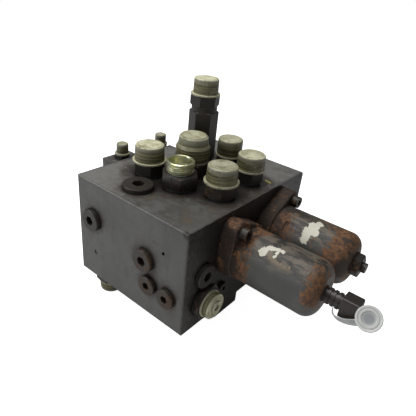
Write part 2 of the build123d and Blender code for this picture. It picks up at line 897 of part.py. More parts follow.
def make_spool(seat):
    """Spool with three lands on a slim neck."""
    outline = [(0, spool_tail), (spool_r, spool_tail), (spool_r, spool_tail + land_len)]
    for low in (spool_tail + 2 * land_len, spool_top - 2 * land_len):
        outline += [
            (spool_neck_r, outline[-1][1]),
            (spool_neck_r, low),
            (spool_r, low),
            (spool_r, low + land_len),
        ]
    outline += [(spool_neck_r, outline[-1][1]), (spool_neck_r, spool_top), (0, spool_top)]
    return turned(seat, outline)


def make_core_tube(seat):
    """Core tube with a bored pole piece at its foot and a closed end behind the armature room."""
    return turned(
        seat,
        [
            (pin_r + fit_gap, 0),
            (core_r, 0),
            (core_r, core_len),
            (0, core_len),
            (0, armature_top + seat_gap),
            (core_bore_r, armature_top + seat_gap),
            (core_bore_r, pole_len),
            (pin_r + fit_gap, pole_len),
        ],
    )


def make_armature(seat):
    """Armature with the push pin that reaches the spool."""
    return turned(
        seat,
        [
            (0, spool_top),
            (pin_r, spool_top),
            (pin_r, armature_foot),
            (core_bore_r - fit_gap, armature_foot),
            (core_bore_r - fit_gap, armature_top),
            (0, armature_top),
        ],
    )


def make_coil(seat):
    """Winding between the two cheeks of its bobbin."""
    low = coil_foot + seat_gap
    cheek = 3.0
    return turned(
        seat,
        [
            (core_r + seat_gap, low),
            (coil_r, low),
            (coil_r, low + cheek),
            (coil_r - 1.2, low + cheek),
            (coil_r - 1.2, low + coil_len - cheek),
            (coil_r, low + coil_len - cheek),
            (coil_r, low + coil_len),
            (core_r + seat_gap, low + coil_len),
        ],
    )


def make_o_ring(seat):
    with BuildPart() as piece:
        with BuildSketch(section_of(seat)):
            with Locations((o_ring_r, o_ring_wire)):
                Circle(o_ring_wire)
        revolve(axis=axis_of(seat))
    return piece.part


def make_flange_screws(seat, spots):
    with BuildPart() as pieces:
        for spot in spots:
            add(make_screw(at(seat.offset(flange_top), spot), flange_screw, flange_thick))
    return pieces.part


for end, seat in valve_seats.items():
    spots = flange_screw_spots[end]
    keep(make_flange(seat, spots), f"{end}_valve_flange")
    keep(make_flange_screws(seat, spots), f"{end}_flange_screws")
    if end == "front":
        keep(make_housing(seat, spots), "front_housing")
    keep(make_coil(seat), f"{end}_coil")
    keep(make_core_tube(seat), f"{end}_core_tube")
    keep(make_armature(seat), f"{end}_armature")
    keep(make_sleeve(seat), f"{end}_valve_sleeve")
    keep(make_spool(seat), f"{end}_spool")
    keep(make_o_ring(seat), f"{end}_flange_seal")
    spring_foot = -cavity_len + seat_gap
    keep(make_spring(seat, spool_r - 0.4, spring_foot, spool_tail - seat_gap), f"{end}_return_spring")

# The rear housing also has a shallow wrench slot on its front shoulder
slot_lean = math.radians(slot_angle)
slot_out = Vector(0, -math.sin(slot_lean), math.cos(slot_lean))
slot_seat = Plane(
    origin=valve_seats["rear"].offset(flange_top + slot_x).origin + slot_out * housing_r,
    x_dir=Vector(0, -math.cos(slot_lean), -math.sin(slot_lean)),
    z_dir=slot_out,
)
with BuildPart() as rear_housing:
    add(make_housing(valve_seats["rear"], flange_screw_spots["rear"]))
    with BuildSketch(slot_seat.offset(-slot_deep)):
        SlotOverall(slot_len, slot_width)
    extrude(amount=2 * slot_deep, mode=Mode.SUBTRACT)
keep(rear_housing.part, "rear_housing")

# Connector on the front housing
connector_seat = valve_seats["front"].offset(housing_end + neck_len)
with BuildPart() as front_connector:
    with BuildSketch(valve_seats["front"].offset(core_len)):
        Circle(neck_r)
    extrude(amount=housing_end - core_len + neck_len)
    for i in range(4):
        with BuildSketch(valve_seats["front"].offset(housing_end - neck_rib / 2 + 2 * neck_rib * i)):
            Circle(neck_rib_r)
        extrude(amount=neck_rib)
    with BuildSketch(connector_seat):
        with Locations((0, connector_drop)):
            RectangleRounded(connector_y, connector_z, 2.5)
    extrude(amount=connector_x)
    chamfer(front_connector.faces().sort_by(Axis.X)[-1].edges(), length=edge_chamfer)
    with BuildSketch(connector_seat.offset(connector_x)):
        with Locations((0, connector_drop)):
            RectangleRounded(connector_socket_x, connector_socket_z, 1.5)
    extrude(amount=-connector_socket_len, mode=Mode.SUBTRACT)
keep(front_connector.part, "front_connector")
with BuildPart() as connector_terminals:
    with BuildSketch(connector_seat.offset(connector_x - connector_socket_len)):
        with Locations((0, connector_drop)):
            with GridLocations(0, terminal_pitch, 1, 2):
                Circle(terminal_r)
    extrude(amount=terminal_len)
keep(connector_terminals.part, "connector_terminals")

# Dust cap on its strap beside the connector
disc_plane = Plane(origin=connector_seat.from_local_coords(dust_cap_offset), z_dir=dust_cap_facing)
strap_foot = connector_seat.from_local_coords((-connector_y / 2, connector_drop, connector_x * 0.6))
strap_end = disc_plane.from_local_coords((0, 0, -dust_cap_thick / 2))
strap_way = strap_end - strap_foot
strap_way = (strap_way - disc_plane.z_dir * strap_way.dot(disc_plane.z_dir)).normalized()
strap_end = strap_end - strap_way * (dust_cap_r - 1)
with BuildPart() as connector_dust_cap:
    with BuildSketch(disc_plane):
        Circle(dust_cap_r)
    extrude(amount=-dust_cap_thick)
    with BuildSketch(disc_plane.offset(-dust_cap_thick)):
        Circle(dust_cap_r - dust_cap_wall)
        Circle(dust_cap_r * 0.6, mode=Mode.SUBTRACT)
    extrude(amount=dust_cap_thick - dust_cap_wall, mode=Mode.SUBTRACT)
    with BuildLine():
        strap = Spline(strap_foot, strap_end, tangents=[Vector(0, -1, 0), strap_way])
    with BuildSketch(Plane(origin=strap_foot, z_dir=(0, -1, 0))):
        Circle(strap_r)
    sweep(path=strap)
keep(connector_dust_cap.part, "connector_dust_cap")

# Screw plug in the rear housing
with BuildPart() as rear_end_plug:
    with BuildSketch(valve_seats["rear"].offset(core_len)):
        Circle(end_plug_tip_r)
    extrude(amount=housing_end - core_len)
    with BuildSketch(valve_seats["rear"].offset(housing_end)):
        RegularPolygon(corner_r(end_plug_flats), 6, rotation=end_plug_turn)
    extrude(amount=end_plug_hex)
    chamfer(rear_end_plug.faces().sort_by(Axis.X)[-1].edges(), length=edge_chamfer)
    with BuildSketch(valve_seats["rear"].offset(housing_end + end_plug_hex)):
        Circle(end_plug_tip_r)
    extrude(amount=end_plug_tip)
keep(rear_end_plug.part, "rear_end_plug")

# Support foot
with BuildPart() as support_foot:
    with BuildSketch(foot_seat):
        Rectangle(foot_x, foot_y)
    extrude(amount=foot_thick)
    fillet(support_foot.edges().filter_by(Axis.Z), radius=foot_round)
    for spot in foot_screw_spots:
        drill(at(foot_seat.offset(foot_thick), spot), foot_screw.head_r + hole_gap, foot_screw.head_len + 1)
        drill(at(foot_seat.offset(foot_thick), spot), foot_screw.shank_r + hole_gap, foot_thick)
keep(support_foot.part, "support_foot")
with BuildPart() as foot_screws:
    for spot in foot_screw_spots:
        head_seat = at(foot_seat.offset(foot_thick - foot_screw.head_len - 1), spot)
        add(make_screw(head_seat, foot_screw, foot_thick - foot_screw.head_len - 1))
keep(foot_screws.part, "foot_screws")
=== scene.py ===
# Swing valve block: finishes, fine fittings, floor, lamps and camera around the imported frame.
import json
import math

import bmesh
import bpy
from mathutils import Matrix, Vector


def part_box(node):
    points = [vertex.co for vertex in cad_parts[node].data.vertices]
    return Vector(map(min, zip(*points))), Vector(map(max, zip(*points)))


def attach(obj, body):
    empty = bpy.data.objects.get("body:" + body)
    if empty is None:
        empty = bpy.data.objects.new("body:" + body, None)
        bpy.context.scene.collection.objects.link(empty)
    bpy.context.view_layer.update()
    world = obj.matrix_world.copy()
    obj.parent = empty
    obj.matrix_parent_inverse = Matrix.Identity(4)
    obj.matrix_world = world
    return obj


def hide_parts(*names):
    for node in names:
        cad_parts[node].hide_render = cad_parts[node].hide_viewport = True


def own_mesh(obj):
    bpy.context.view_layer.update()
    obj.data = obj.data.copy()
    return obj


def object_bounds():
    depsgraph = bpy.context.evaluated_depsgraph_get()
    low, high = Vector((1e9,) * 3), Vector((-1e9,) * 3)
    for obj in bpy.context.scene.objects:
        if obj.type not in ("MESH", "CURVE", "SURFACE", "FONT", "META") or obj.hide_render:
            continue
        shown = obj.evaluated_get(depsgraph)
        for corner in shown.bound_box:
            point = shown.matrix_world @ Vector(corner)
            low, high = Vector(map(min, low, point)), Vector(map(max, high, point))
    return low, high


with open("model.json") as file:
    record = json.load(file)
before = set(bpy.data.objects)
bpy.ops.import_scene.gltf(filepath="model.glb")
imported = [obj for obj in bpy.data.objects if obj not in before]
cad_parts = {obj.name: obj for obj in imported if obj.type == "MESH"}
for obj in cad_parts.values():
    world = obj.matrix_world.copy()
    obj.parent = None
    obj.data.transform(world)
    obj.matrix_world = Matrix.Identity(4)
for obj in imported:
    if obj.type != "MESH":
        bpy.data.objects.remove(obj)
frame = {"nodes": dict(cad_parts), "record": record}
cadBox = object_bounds()
nodes = frame["nodes"]
slotOf = {part["node"]: part["material_slot"] for part in frame["record"]["subparts"]}
bodyOf = {node: body for body, names in frame["record"]["behaviour"]["bodies"].items() for node in names}
print("frame loaded:", len(nodes), "nodes")

# Masks that every finish can use
masks = {
    "edgeSamples": 6,
    "edgeTurn": (0.02, 0.25),
    "cornerSamples": 8,
    "blotDetail": 3.0,
    "blotEdge": (0.0, 0.12),
}


class Wire:
    # a shader socket whose maths can be written as Python
    def __init__(self, finish, socket):
        self.finish = finish
        self.socket = socket

    def maths(self, operation, left, right=0.0):
        settings = {"operation": operation}
        return self.finish.node("ShaderNodeMath", settings, {0: left, 1: right})[0]

    def __add__(self, other):
        return self.maths("ADD", self, other)

    def __sub__(self, other):
        return self.maths("SUBTRACT", self, other)

    def __mul__(self, other):
        return self.maths("MULTIPLY", self, other)

    def __truediv__(self, other):
        return self.maths("DIVIDE", self, other)

    def __rsub__(self, other):
        return self.maths("SUBTRACT", other, self)

    def __rtruediv__(self, other):
        return self.maths("DIVIDE", other, self)

    __radd__ = __add__
    __rmul__ = __mul__

    def raised(self, power):
        return self.maths("POWER", self, power)

    def size(self):
        return self.maths("ABSOLUTE", self)

    def most(self, other):
        return self.maths("MAXIMUM", self, other)

    def between(self, low, high):
        # 0 below low, 1 above high, smooth from one to the other
        inputs = {"Value": self, "From Min": low, "From Max": high}
        settings = {"interpolation_type": "SMOOTHSTEP"}
        return self.finish.node("ShaderNodeMapRange", settings, inputs)["Result"]


class Outlets:
    # a made node, whose outputs are read as wires
    def __init__(self, finish, made):
        self.finish = finish
        self.made = made

    def __getitem__(self, key):
        return Wire(self.finish, self.made.outputs[key])


class Finish:
    # one material, built node by node
    def __init__(self, name):
        self.material = bpy.data.materials.new(name)
        self.material.use_nodes = True
        self.tree = self.material.node_tree
        self.shader = self.tree.nodes["Principled BSDF"]
        self.place = self.node("ShaderNodeTexCoord")["Object"]

    def join(self, value, socket):
        if isinstance(value, Wire):
            self.tree.links.new(value.socket, socket)
        elif isinstance(value, (tuple, list)) and len(value) == 3 and socket.type == "RGBA":
            socket.default_value = (*value, 1.0)
        else:
            socket.default_value = value

    def node(self, kind, settings=None, inputs=None):
        made = self.tree.nodes.new(kind)
        for name, value in (settings or {}).items():
            if name == "stops":
                while len(made.color_ramp.elements) < len(value):
                    made.color_ramp.elements.new(0.5)
                for element, (position, shade) in zip(made.color_ramp.elements, value):
                    element.position = position
                    element.color = (*shade, 1.0)
            else:
                setattr(made, name, value)
        for key, value in (inputs or {}).items():
            self.join(value, made.inputs[key])
        return Outlets(self, made)

    def speckle(self, scale, detail, rough, seed=0.0, stretch=None):
        # fractal noise around 0.5
        inputs = {"Vector": self.place, "Location": (seed, seed * 0.7, -seed)}
        if stretch:
            inputs["Scale"] = stretch
        where = self.node("ShaderNodeMapping", None, inputs)["Vector"]
        inputs = {"Vector": where, "Scale": scale, "Detail": detail, "Roughness": rough}
        return self.node("ShaderNodeTexNoise", None, inputs)[0]

    def speckles(self, noises):
        return [self.speckle(*noise) for noise in noises.values()]

    def mix(self, factor, under, over):
        return self.node("ShaderNodeMix", {"data_type": "RGBA"}, {0: factor, 6: under, 7: over})[2]

    def ramp(self, factor, stops):
        return self.node("ShaderNodeValToRGB", {"stops": stops}, {"Fac": factor})["Color"]

    def axis(self, letter):
        # the place along X, Y or Z
        return self.node("ShaderNodeSeparateXYZ", None, {"Vector": self.place})[letter]

    def facing(self, letter):
        # 1 where the surface looks along X, Y or Z, -1 where it looks back
        normal = self.node("ShaderNodeNewGeometry")["Normal"]
        return self.node("ShaderNodeSeparateXYZ", None, {"Vector": normal})[letter]

    def edges(self, radius):
        # 1 on sharp outer edges
        settings = {"samples": masks["edgeSamples"]}
        bevel = self.node("ShaderNodeBevel", settings, {"Radius": radius})["Normal"]
        true = self.node("ShaderNodeNewGeometry")["Normal"]
        same = self.node("ShaderNodeVectorMath", {"operation": "DOT_PRODUCT"}, {0: bevel, 1: true})
        return (1.0 - same["Value"]).between(*masks["edgeTurn"])

    def corners(self, distance):
        # 1 deep in a corner between pieces
        settings = {"samples": masks["cornerSamples"]}
        shade = self.node("ShaderNodeAmbientOcclusion", settings, {"Distance": distance})["AO"]
        return 1.0 - shade

    def far(self, place, source=None):
        # distance from a place
        inputs = {0: source or self.place, 1: place}
        return self.node("ShaderNodeVectorMath", {"operation": "DISTANCE"}, inputs)["Value"]

    def blots(self, spots, ragged, scale):
        # 1 inside spots, each a place and a radius, with their outline pulled about by ragged metres
        inputs = {"Vector": self.place, "Scale": scale, "Detail": masks["blotDetail"]}
        wobble = self.node("ShaderNodeTexNoise", None, inputs)["Color"]
        inputs = {0: wobble, 1: (ragged, ragged, ragged), 2: self.place}
        pulled = self.node("ShaderNodeVectorMath", {"operation": "MULTIPLY_ADD"}, inputs)["Vector"]
        mask = None
        for place, radius in spots:
            centre = tuple(value + ragged / 2 for value in place)
            inside = 1.0 - self.far(centre, pulled) / radius
            mask = inside if mask is None else mask.most(inside)
        return mask.between(*masks["blotEdge"])

    def finish(self, bump=None, **sockets):
        names = {"colour": "Base Color", "rough": "Roughness", "metal": "Metallic", "clear": "Alpha"}
        if bump:
            height, strength, distance = bump
            inputs = {"Height": height, "Strength": strength, "Distance": distance}
            bumped = self.node("ShaderNodeBump", None, inputs)["Normal"]
            self.join(bumped, self.shader.inputs["Normal"])
        for name, value in sockets.items():
            self.join(value, self.shader.inputs[names[name]])
        return self.material


def dress(node, material):
    # a frame node takes one material
    mesh = nodes[node].data
    mesh.materials.clear()
    mesh.materials.append(material)


# Camera, solved from the block's edges
cameraView = {
    "place": (0.2731, -0.3423, 0.3218),
    "right": (0.76779, 0.63382, 0.09365),
    "up": (-0.37477, 0.32572, 0.86802),
    "back": (0.51966, -0.70155, 0.48762),
    "lens": 36.31,
    "sensor": 36.0,
}


def makeCamera():
    lens = bpy.data.cameras.new("camera")
    lens.lens = cameraView["lens"]
    lens.sensor_width = cameraView["sensor"]
    lens.sensor_fit = "HORIZONTAL"
    camera = bpy.data.objects.new("camera", lens)
    turn = Matrix((cameraView["right"], cameraView["up"], cameraView["back"])).transposed()
    camera.matrix_world = Matrix.Translation(cameraView["place"]) @ turn.to_4x4()
    bpy.context.scene.collection.objects.link(camera)
    bpy.context.scene.camera = camera


# Floor, backdrop and lamps
studio = {
    "floorSize": 6.0,
    "floorDrop": 0.0002,
    "floorColour": (0.8, 0.8, 0.8),
    "floorRough": 0.9,
    "white": (1.0, 1.0, 1.0),
    "whiteLift": 0.92,
    "worldLevel": 0.2,
    "lamps": [
        # name, place, size, watts
        ("overhead", (-0.25, -0.1, 1.35), 0.9, 13.0),
        ("leftSoft", (-0.75, -1.0, 0.75), 0.8, 7.5),
        ("cameraFill", (0.75, -0.9, 0.55), 0.8, 0.8),
    ],
    "aim": (0.03, 0.0, 0.06),
}


def makeFloor():
    mesh = bmesh.new()
    bmesh.ops.create_grid(mesh, x_segments=1, y_segments=1, size=studio["floorSize"] / 2)
    bmesh.ops.translate(mesh, vec=(0, 0, cadBox[0][2] - studio["floorDrop"]), verts=mesh.verts)
    data = bpy.data.meshes.new("floor")
    mesh.to_mesh(data)
    mesh.free()
    floor = bpy.data.objects.new("floor", data)
    bpy.context.scene.collection.objects.link(floor)
    paper = Finish("floorPaper")
    paper.finish(colour=studio["floorColour"], rough=studio["floorRough"])
    paper.shader.inputs["Specular IOR Level"].default_value = 0.0
    # only camera and transmission rays see it glow, so it stays white and keeps its shadow
    seen = paper.node("ShaderNodeLightPath")
    lift = seen["Is Camera Ray"].most(seen["Is Transmission Ray"]) * studio["whiteLift"]
    shine = paper.node("ShaderNodeEmission", None, {"Color": studio["white"], "Strength": lift})[0]
    plain = Wire(paper, paper.shader.outputs[0])
    both = paper.node("ShaderNodeAddShader", None, {0: plain, 1: shine})[0]
    paper.join(both, paper.tree.nodes["Material Output"].inputs["Surface"])
    data.materials.append(paper.material)


def makeWorld():
    # white behind the part, and a low even light on it
    world = bpy.data.worlds.new("room")
    world.use_nodes = True
    bpy.context.scene.world = world
    tree = world.node_tree
    seen = tree.nodes.new("ShaderNodeLightPath")
    either = tree.nodes.new("ShaderNodeMath")
    either.operation = "MAXIMUM"
    level = tree.nodes.new("ShaderNodeMapRange")
    level.inputs["To Min"].default_value = studio["worldLevel"]
    level.inputs["To Max"].default_value = 1.0
    sky = tree.nodes["Background"]
    sky.inputs["Color"].default_value = (*studio["white"], 1.0)
    for outlet, inlet in (
        (seen.outputs["Is Camera Ray"], either.inputs[0]),
        (seen.outputs["Is Transmission Ray"], either.inputs[1]),
        (either.outputs[0], level.inputs["Value"]),
        (level.outputs["Result"], sky.inputs["Strength"]),
    ):
        tree.links.new(outlet, inlet)


def makeLamps():
    for name, place, size, watts in studio["lamps"]:
        light = bpy.data.lights.new(name, "AREA")
        light.energy = watts
        light.size = size
        lamp = bpy.data.objects.new(name, light)
        lamp.location = place
        lamp.rotation_euler = (Vector(place) - Vector(studio["aim"])).to_track_quat("Z", "Y").to_euler()
        bpy.context.scene.collection.objects.link(lamp)


makeCamera()
makeFloor()
makeWorld()
makeLamps()
bpy.context.scene.view_settings.view_transform = "Standard"
print("camera, floor and lamps made")

# Shared colours, as linear values
colours = {
    "paint": (0.052, 0.052, 0.049),
    "paintPale": (0.082, 0.082, 0.077),
    "paintTop": (0.17, 0.168, 0.155),
    "paintWorn": (0.26, 0.25, 0.22),
    "grime": (0.022, 0.018, 0.013),
    "oil": (0.007, 0.006, 0.005),
    "dust": (0.13, 0.105, 0.075),
    "rust": (0.15, 0.068, 0.027),
    "rustDark": (0.035, 0.019, 0.011),
    "rustPale": (0.24, 0.12, 0.05),
    "blackSteel": (0.02, 0.018, 0.015),
    "plugSteel": (0.03, 0.026, 0.021),
    "zinc": (0.55, 0.57, 0.42),
    "zincYellow": (0.42, 0.4, 0.17),
    "capRoof": (0.42, 0.41, 0.29),
    "capRoofWorn": (0.27, 0.26, 0.16),
    "capOlive": (0.16, 0.147, 0.068),
    "capDeep": (0.045, 0.04, 0.018),
    "capRim": (0.33, 0.32, 0.24),
    "yellow": (0.5, 0.42, 0.05),
    "residue": (0.62, 0.6, 0.5),
    "glue": (0.16, 0.125, 0.08),
    "bareSteel": (0.45, 0.44, 0.42),
    "brass": (0.7, 0.5, 0.25),
    "dullBlack": (0.02, 0.02, 0.02),
    "connector": (0.02, 0.014, 0.011),
}

# Each finish below has its values in the same groups:
# noises are scale, detail, roughness, seed and stretch;
# spans are where a layer begins and where it is full;
# reaches are the radius of an edge or the depth of a corner, in metres;
# covers are how much of a layer's colour shows.

blockLook = {
    "noises": {
        "cloud": (12.0, 5.0, 0.6),
        "fine": (120.0, 5.0, 0.65, 3.0),
        "grit": (900.0, 3.0, 0.6, 5.0),
        "dusty": (46.0, 5.0, 0.6, 9.0),
        "drip": (1.0, 3.0, 0.6, 8.0, (80.0, 80.0, 9.0)),
        "scrape": (1.0, 4.0, 0.7, 6.0, (150.0, 500.0, 150.0)),
    },
    "spans": {
        "facing": (0.5, 0.9),
        "pale": (0.3, 0.75),
        "drip": (0.52, 0.72),
        "middle": (0.045, 0.115),        # metres from dirtyMiddle
        "stain": (0.46, 0.64),
        "smear": (0.52, 0.62),
        "crust": (0.8, 0.95),
        "crustTint": (0.4, 0.6),
        "soot": (0.5, 1.05),
        "edge": (0.78, 0.92),
        "black": (-0.1, -0.055),         # along Y, in metres
        "scrape": (0.52, 0.62),
        "scrapeEnd": (-0.1, -0.07),      # along Y
        "rust": (0.52, 0.62),
        "rustStart": (-0.07, -0.05),     # along Y
        "rim": (0.38, 0.6),
    },
    "reaches": {"crust": 0.02, "soot": 0.04, "edge": 0.008, "rim": 0.0014},
    "covers": {
        "drip": 0.3,
        "top": 0.85,
        "crust": 0.8,
        "soot": 0.93,
        "edge": 0.85,
        "scrape": 0.5,
        "rust": 0.5,
        "rim": 0.75,
        "chips": 0.85,
    },
    "dirtyMiddle": (0.045, -0.045, 0.122),
    "chips": [((0.077, -0.105, 0.12), 0.004), ((0.08, -0.1, 0.114), 0.003)],
    "chipRagged": 0.008,
    "yellowArc": [
        ((0.064, 0.0452, 0.122), 0.0014),
        ((0.067, 0.0445, 0.122), 0.0016),
        ((0.07, 0.0435, 0.122), 0.0014),
    ],
    "arcRagged": 0.002,
    "blotScale": 420.0,
    "bump": (0.25, 0.0005),
}


def blockPaint():
    finish = Finish("blockPaint")
    span, reach, cover = blockLook["spans"], blockLook["reaches"], blockLook["covers"]
    cloud, fine, grit, dusty, drip, scrape = finish.speckles(blockLook["noises"])
    y = finish.axis("Y")
    top = finish.facing("Z").between(*span["facing"])
    right = finish.facing("X").between(*span["facing"])
    base = finish.mix(cloud.between(*span["pale"]), colours["paint"], colours["paintPale"])
    base = finish.mix(drip.between(*span["drip"]) * cover["drip"] * (1.0 - top), base, colours["grime"])

    # the top is painted paler as if lit from above, less so in its dirty middle, with stains and smears
    # that gather between its fittings
    middle = 1.0 - finish.far(blockLook["dirtyMiddle"]).between(*span["middle"])
    base = finish.mix(top * cover["top"] * (1.0 - middle * 0.75), base, colours["paintTop"])
    stain = (cloud * 0.35 + dusty * 0.3 + fine * 0.35 + middle * 0.05).between(*span["stain"])
    base = finish.mix(stain * top * (middle * 0.45 + 0.45), base, colours["grime"])
    smear = (dusty * 0.5 + fine * 0.5).between(*span["smear"])
    base = finish.mix(smear * top * (0.12 + middle * 0.2), base, colours["glue"])

    # crusts close round the fittings, oily soot and painted shade deep between them, and dirt along the
    # edges
    crusty = (finish.corners(reach["crust"]) * 2.2 + fine * 0.9 + cloud * 0.4).between(*span["crust"])
    crust = finish.mix(fine.between(*span["crustTint"]), colours["grime"], colours["rustDark"])
    base = finish.mix(crusty * cover["crust"], base, crust)
    soot = (finish.corners(reach["soot"]) * 1.7 + fine * 0.5).between(*span["soot"])
    base = finish.mix(soot * cover["soot"], base, colours["oil"])
    edge = (finish.edges(reach["edge"]) * 0.5 + dusty * 0.9 + fine * 0.3).between(*span["edge"])
    base = finish.mix(edge * cover["edge"], base, colours["grime"])

    # the right face is painted nearly black round its valves as shade, a little less at its front edge; it
    # is scraped in front of them and rusty behind
    base = finish.mix(right * (0.8 + y.between(*span["black"]) * 0.18), base, colours["oil"])
    scraped = scrape.between(*span["scrape"]) * right * (1.0 - y.between(*span["scrapeEnd"]))
    base = finish.mix(scraped * cover["scrape"], base, colours["dust"])
    rusty = (fine * 0.6 + cloud * 0.4).between(*span["rust"]) * right * y.between(*span["rustStart"])
    base = finish.mix(rusty * cover["rust"], base, colours["rustDark"])

    # worn rims, chips at the front right corner and a yellow arc on top
    rim = finish.edges(reach["rim"]) * fine.between(*span["rim"])
    base = finish.mix(rim * cover["rim"], base, colours["paintWorn"])
    chips = finish.blots(blockLook["chips"], blockLook["chipRagged"], blockLook["blotScale"])
    base = finish.mix(chips * cover["chips"], base, colours["oil"])
    arc = finish.blots(blockLook["yellowArc"], blockLook["arcRagged"], blockLook["blotScale"])
    base = finish.mix(arc, base, colours["yellow"])
    rough = 0.3 + fine * 0.22 + stain * 0.1 - soot * 0.12
    return finish.finish(colour=base, rough=rough, bump=(grit * 0.3 + fine * 0.7, *blockLook["bump"]))


# Plugs, hexagons, flanges and screws
steelLook = {
    "noises": {"cloud": (60.0, 5.0, 0.6, 1.0), "fine": (420.0, 4.0, 0.6, 2.0)},
    "spans": {
        "grime": (0.35, 0.7),
        "plugsRight": (-0.05, -0.01),    # along X, in metres
        "plugsBehind": (-0.105, -0.1),   # along Y
        "rust": (0.64, 0.8),
        "nook": (0.35, 0.9),
        "rim": (0.35, 0.6),
    },
    "reaches": {"nook": 0.008, "rim": 0.0007},
    "covers": {"nook": 0.9, "rim": 0.45},
    "rustTints": [(0.42, colours["rustDark"]), (0.64, colours["rust"]), (0.82, colours["rustPale"])],
    "bump": (0.35, 0.0007),
}


def steel(name, base, rusty, metal=0.3, frontRust=0.0):
    # rusty is from 0 to 1, and frontRust adds to it on the block's front face
    finish = Finish(name)
    span, reach, cover = steelLook["spans"], steelLook["reaches"], steelLook["covers"]
    cloud, fine = finish.speckles(steelLook["noises"])
    base = finish.mix(cloud.between(*span["grime"]), base, colours["grime"])
    front = 1.0 - finish.axis("Y").between(*span["plugsBehind"])
    corroded = finish.axis("X").between(*span["plugsRight"]) * front * frontRust
    rustSpan = [limit - rusty * 0.22 for limit in span["rust"]]
    patch = (cloud * 0.6 + fine * 0.4 + corroded).between(*rustSpan)
    red = finish.ramp(fine, steelLook["rustTints"])
    base = finish.mix(patch * (0.45 + rusty * 0.5), base, red)
    # painted shade darkens the steel in its corners, where it meets other pieces
    nook = finish.corners(reach["nook"]).between(*span["nook"])
    base = finish.mix(nook * cover["nook"], base, colours["oil"])
    rim = finish.edges(reach["rim"]) * fine.between(*span["rim"])
    base = finish.mix(rim * cover["rim"], base, colours["dust"])
    rough = 0.36 + patch * 0.3 + fine * 0.15
    bump = (cloud * 0.4 + fine * 0.6, *steelLook["bump"])
    return finish.finish(colour=base, rough=rough, metal=metal, bump=bump)


# Push-on caps of translucent plastic
capLook = {
    "sideways": "side_stud_cap",
    "upsideDown": "bottom_stud_cap",
    "roofTones": {
        # how pale a cap's roof is, 1 where it isn't named
        "port_a_cap": 1.6, "check_valve_cap": 1.7, "port_p_cap": 1.3, "port_c_cap": 1.35,
        "port_t_cap": 1.2, "side_stud_cap": 1.5, "bottom_stud_cap": 1.5,
    },
    "cloud": (90.0, 5.0, 0.6),
    "seedPerMetre": 900.0,
    "fine": (500.0, 3.0, 0.6, 4.0),
    "threads": (1.0, 2.0, 0.5, 2.0),
    "threadStretch": (18.0, 520.0),
    "spans": {
        "roof": (0.35, 0.85),
        "threads": (0.38, 0.66),
        "cloudy": (0.5, 0.75),
        "skirt": (0.0028, 0.0014),       # metres above its open end
        "worn": (0.35, 0.65),
        "ring": (0.02, 0.07),
        "dirt": (0.55, 0.64),
        "nook": (0.5, 1.0),
    },
    "rimStart": 0.0025,         # metres below its roof
    "ringReach": 0.72,          # share of its radius
    "nookReach": 0.006,
    "covers": {"cloudy": 0.55, "skirt": 0.75, "rim": 0.75, "ring": 0.35, "dirt": 0.65, "nook": 0.7},
    "bump": (0.15, 0.0003),
}


def capPlastic(node):
    # dark threads show through its side, and a ring through its roof
    finish = Finish(node + "Plastic")
    span, cover = capLook["spans"], capLook["covers"]
    low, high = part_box(node)
    middle = [(a + b) / 2 for a, b in zip(low, high)]
    sizes = [b - a for a, b in zip(low, high)]
    axis = 0 if node == capLook["sideways"] else 2
    across = [one for one in range(3) if one != axis]
    radius = max(sizes[one] for one in across) / 2
    height = sizes[axis]
    roofAt = low[2] if node == capLook["upsideDown"] else high[axis]
    first, second = ((finish.axis("XYZ"[one]) - middle[one]).raised(2.0) for one in across)
    away = (first + second).raised(0.5) / radius
    depth = (finish.axis("XYZ"[axis]) - roofAt).size()
    cloud = finish.speckle(*capLook["cloud"], seed=radius * capLook["seedPerMetre"])
    fine = finish.speckle(*capLook["fine"])
    around, along = capLook["threadStretch"]
    stretch = tuple(along if one == axis else around for one in range(3))
    threads = finish.speckle(*capLook["threads"], stretch=stretch)

    side = finish.mix(threads.between(*span["threads"]), colours["capDeep"], colours["capOlive"])
    side = finish.mix(cloud.between(*span["cloudy"]) * cover["cloudy"], side, colours["capRim"])
    skirt = depth.between(*(height - above for above in span["skirt"]))
    side = finish.mix(skirt * cover["skirt"], side, colours["capRim"])
    rim = 1.0 - (depth + cloud * 0.003).between(capLook["rimStart"], height * 0.4 + 0.001)
    side = finish.mix(rim * cover["rim"], side, [value * 0.85 for value in colours["capRim"]])

    tone = capLook["roofTones"].get(node, 1.0)
    clean, worn = ([value * tone for value in colours[name]] for name in ("capRoof", "capRoofWorn"))
    top = finish.mix(cloud.between(*span["worn"]), clean, worn)
    ring = 1.0 - (away - capLook["ringReach"]).size().between(*span["ring"])
    top = finish.mix(ring * cover["ring"], top, colours["capOlive"])

    base = finish.mix(finish.facing("XYZ"[axis]).size().between(*span["roof"]), side, top)
    dirt = (cloud * 0.5 + fine * 0.5).between(*span["dirt"])
    base = finish.mix(dirt * cover["dirt"], base, colours["capDeep"])
    # painted shade darkens the cap in its corners, where it meets other pieces
    nook = finish.corners(capLook["nookReach"]).between(*span["nook"])
    base = finish.mix(nook * cover["nook"], base, colours["grime"])
    return finish.finish(colour=base, rough=0.3 + fine * 0.2, bump=(fine, *capLook["bump"]))


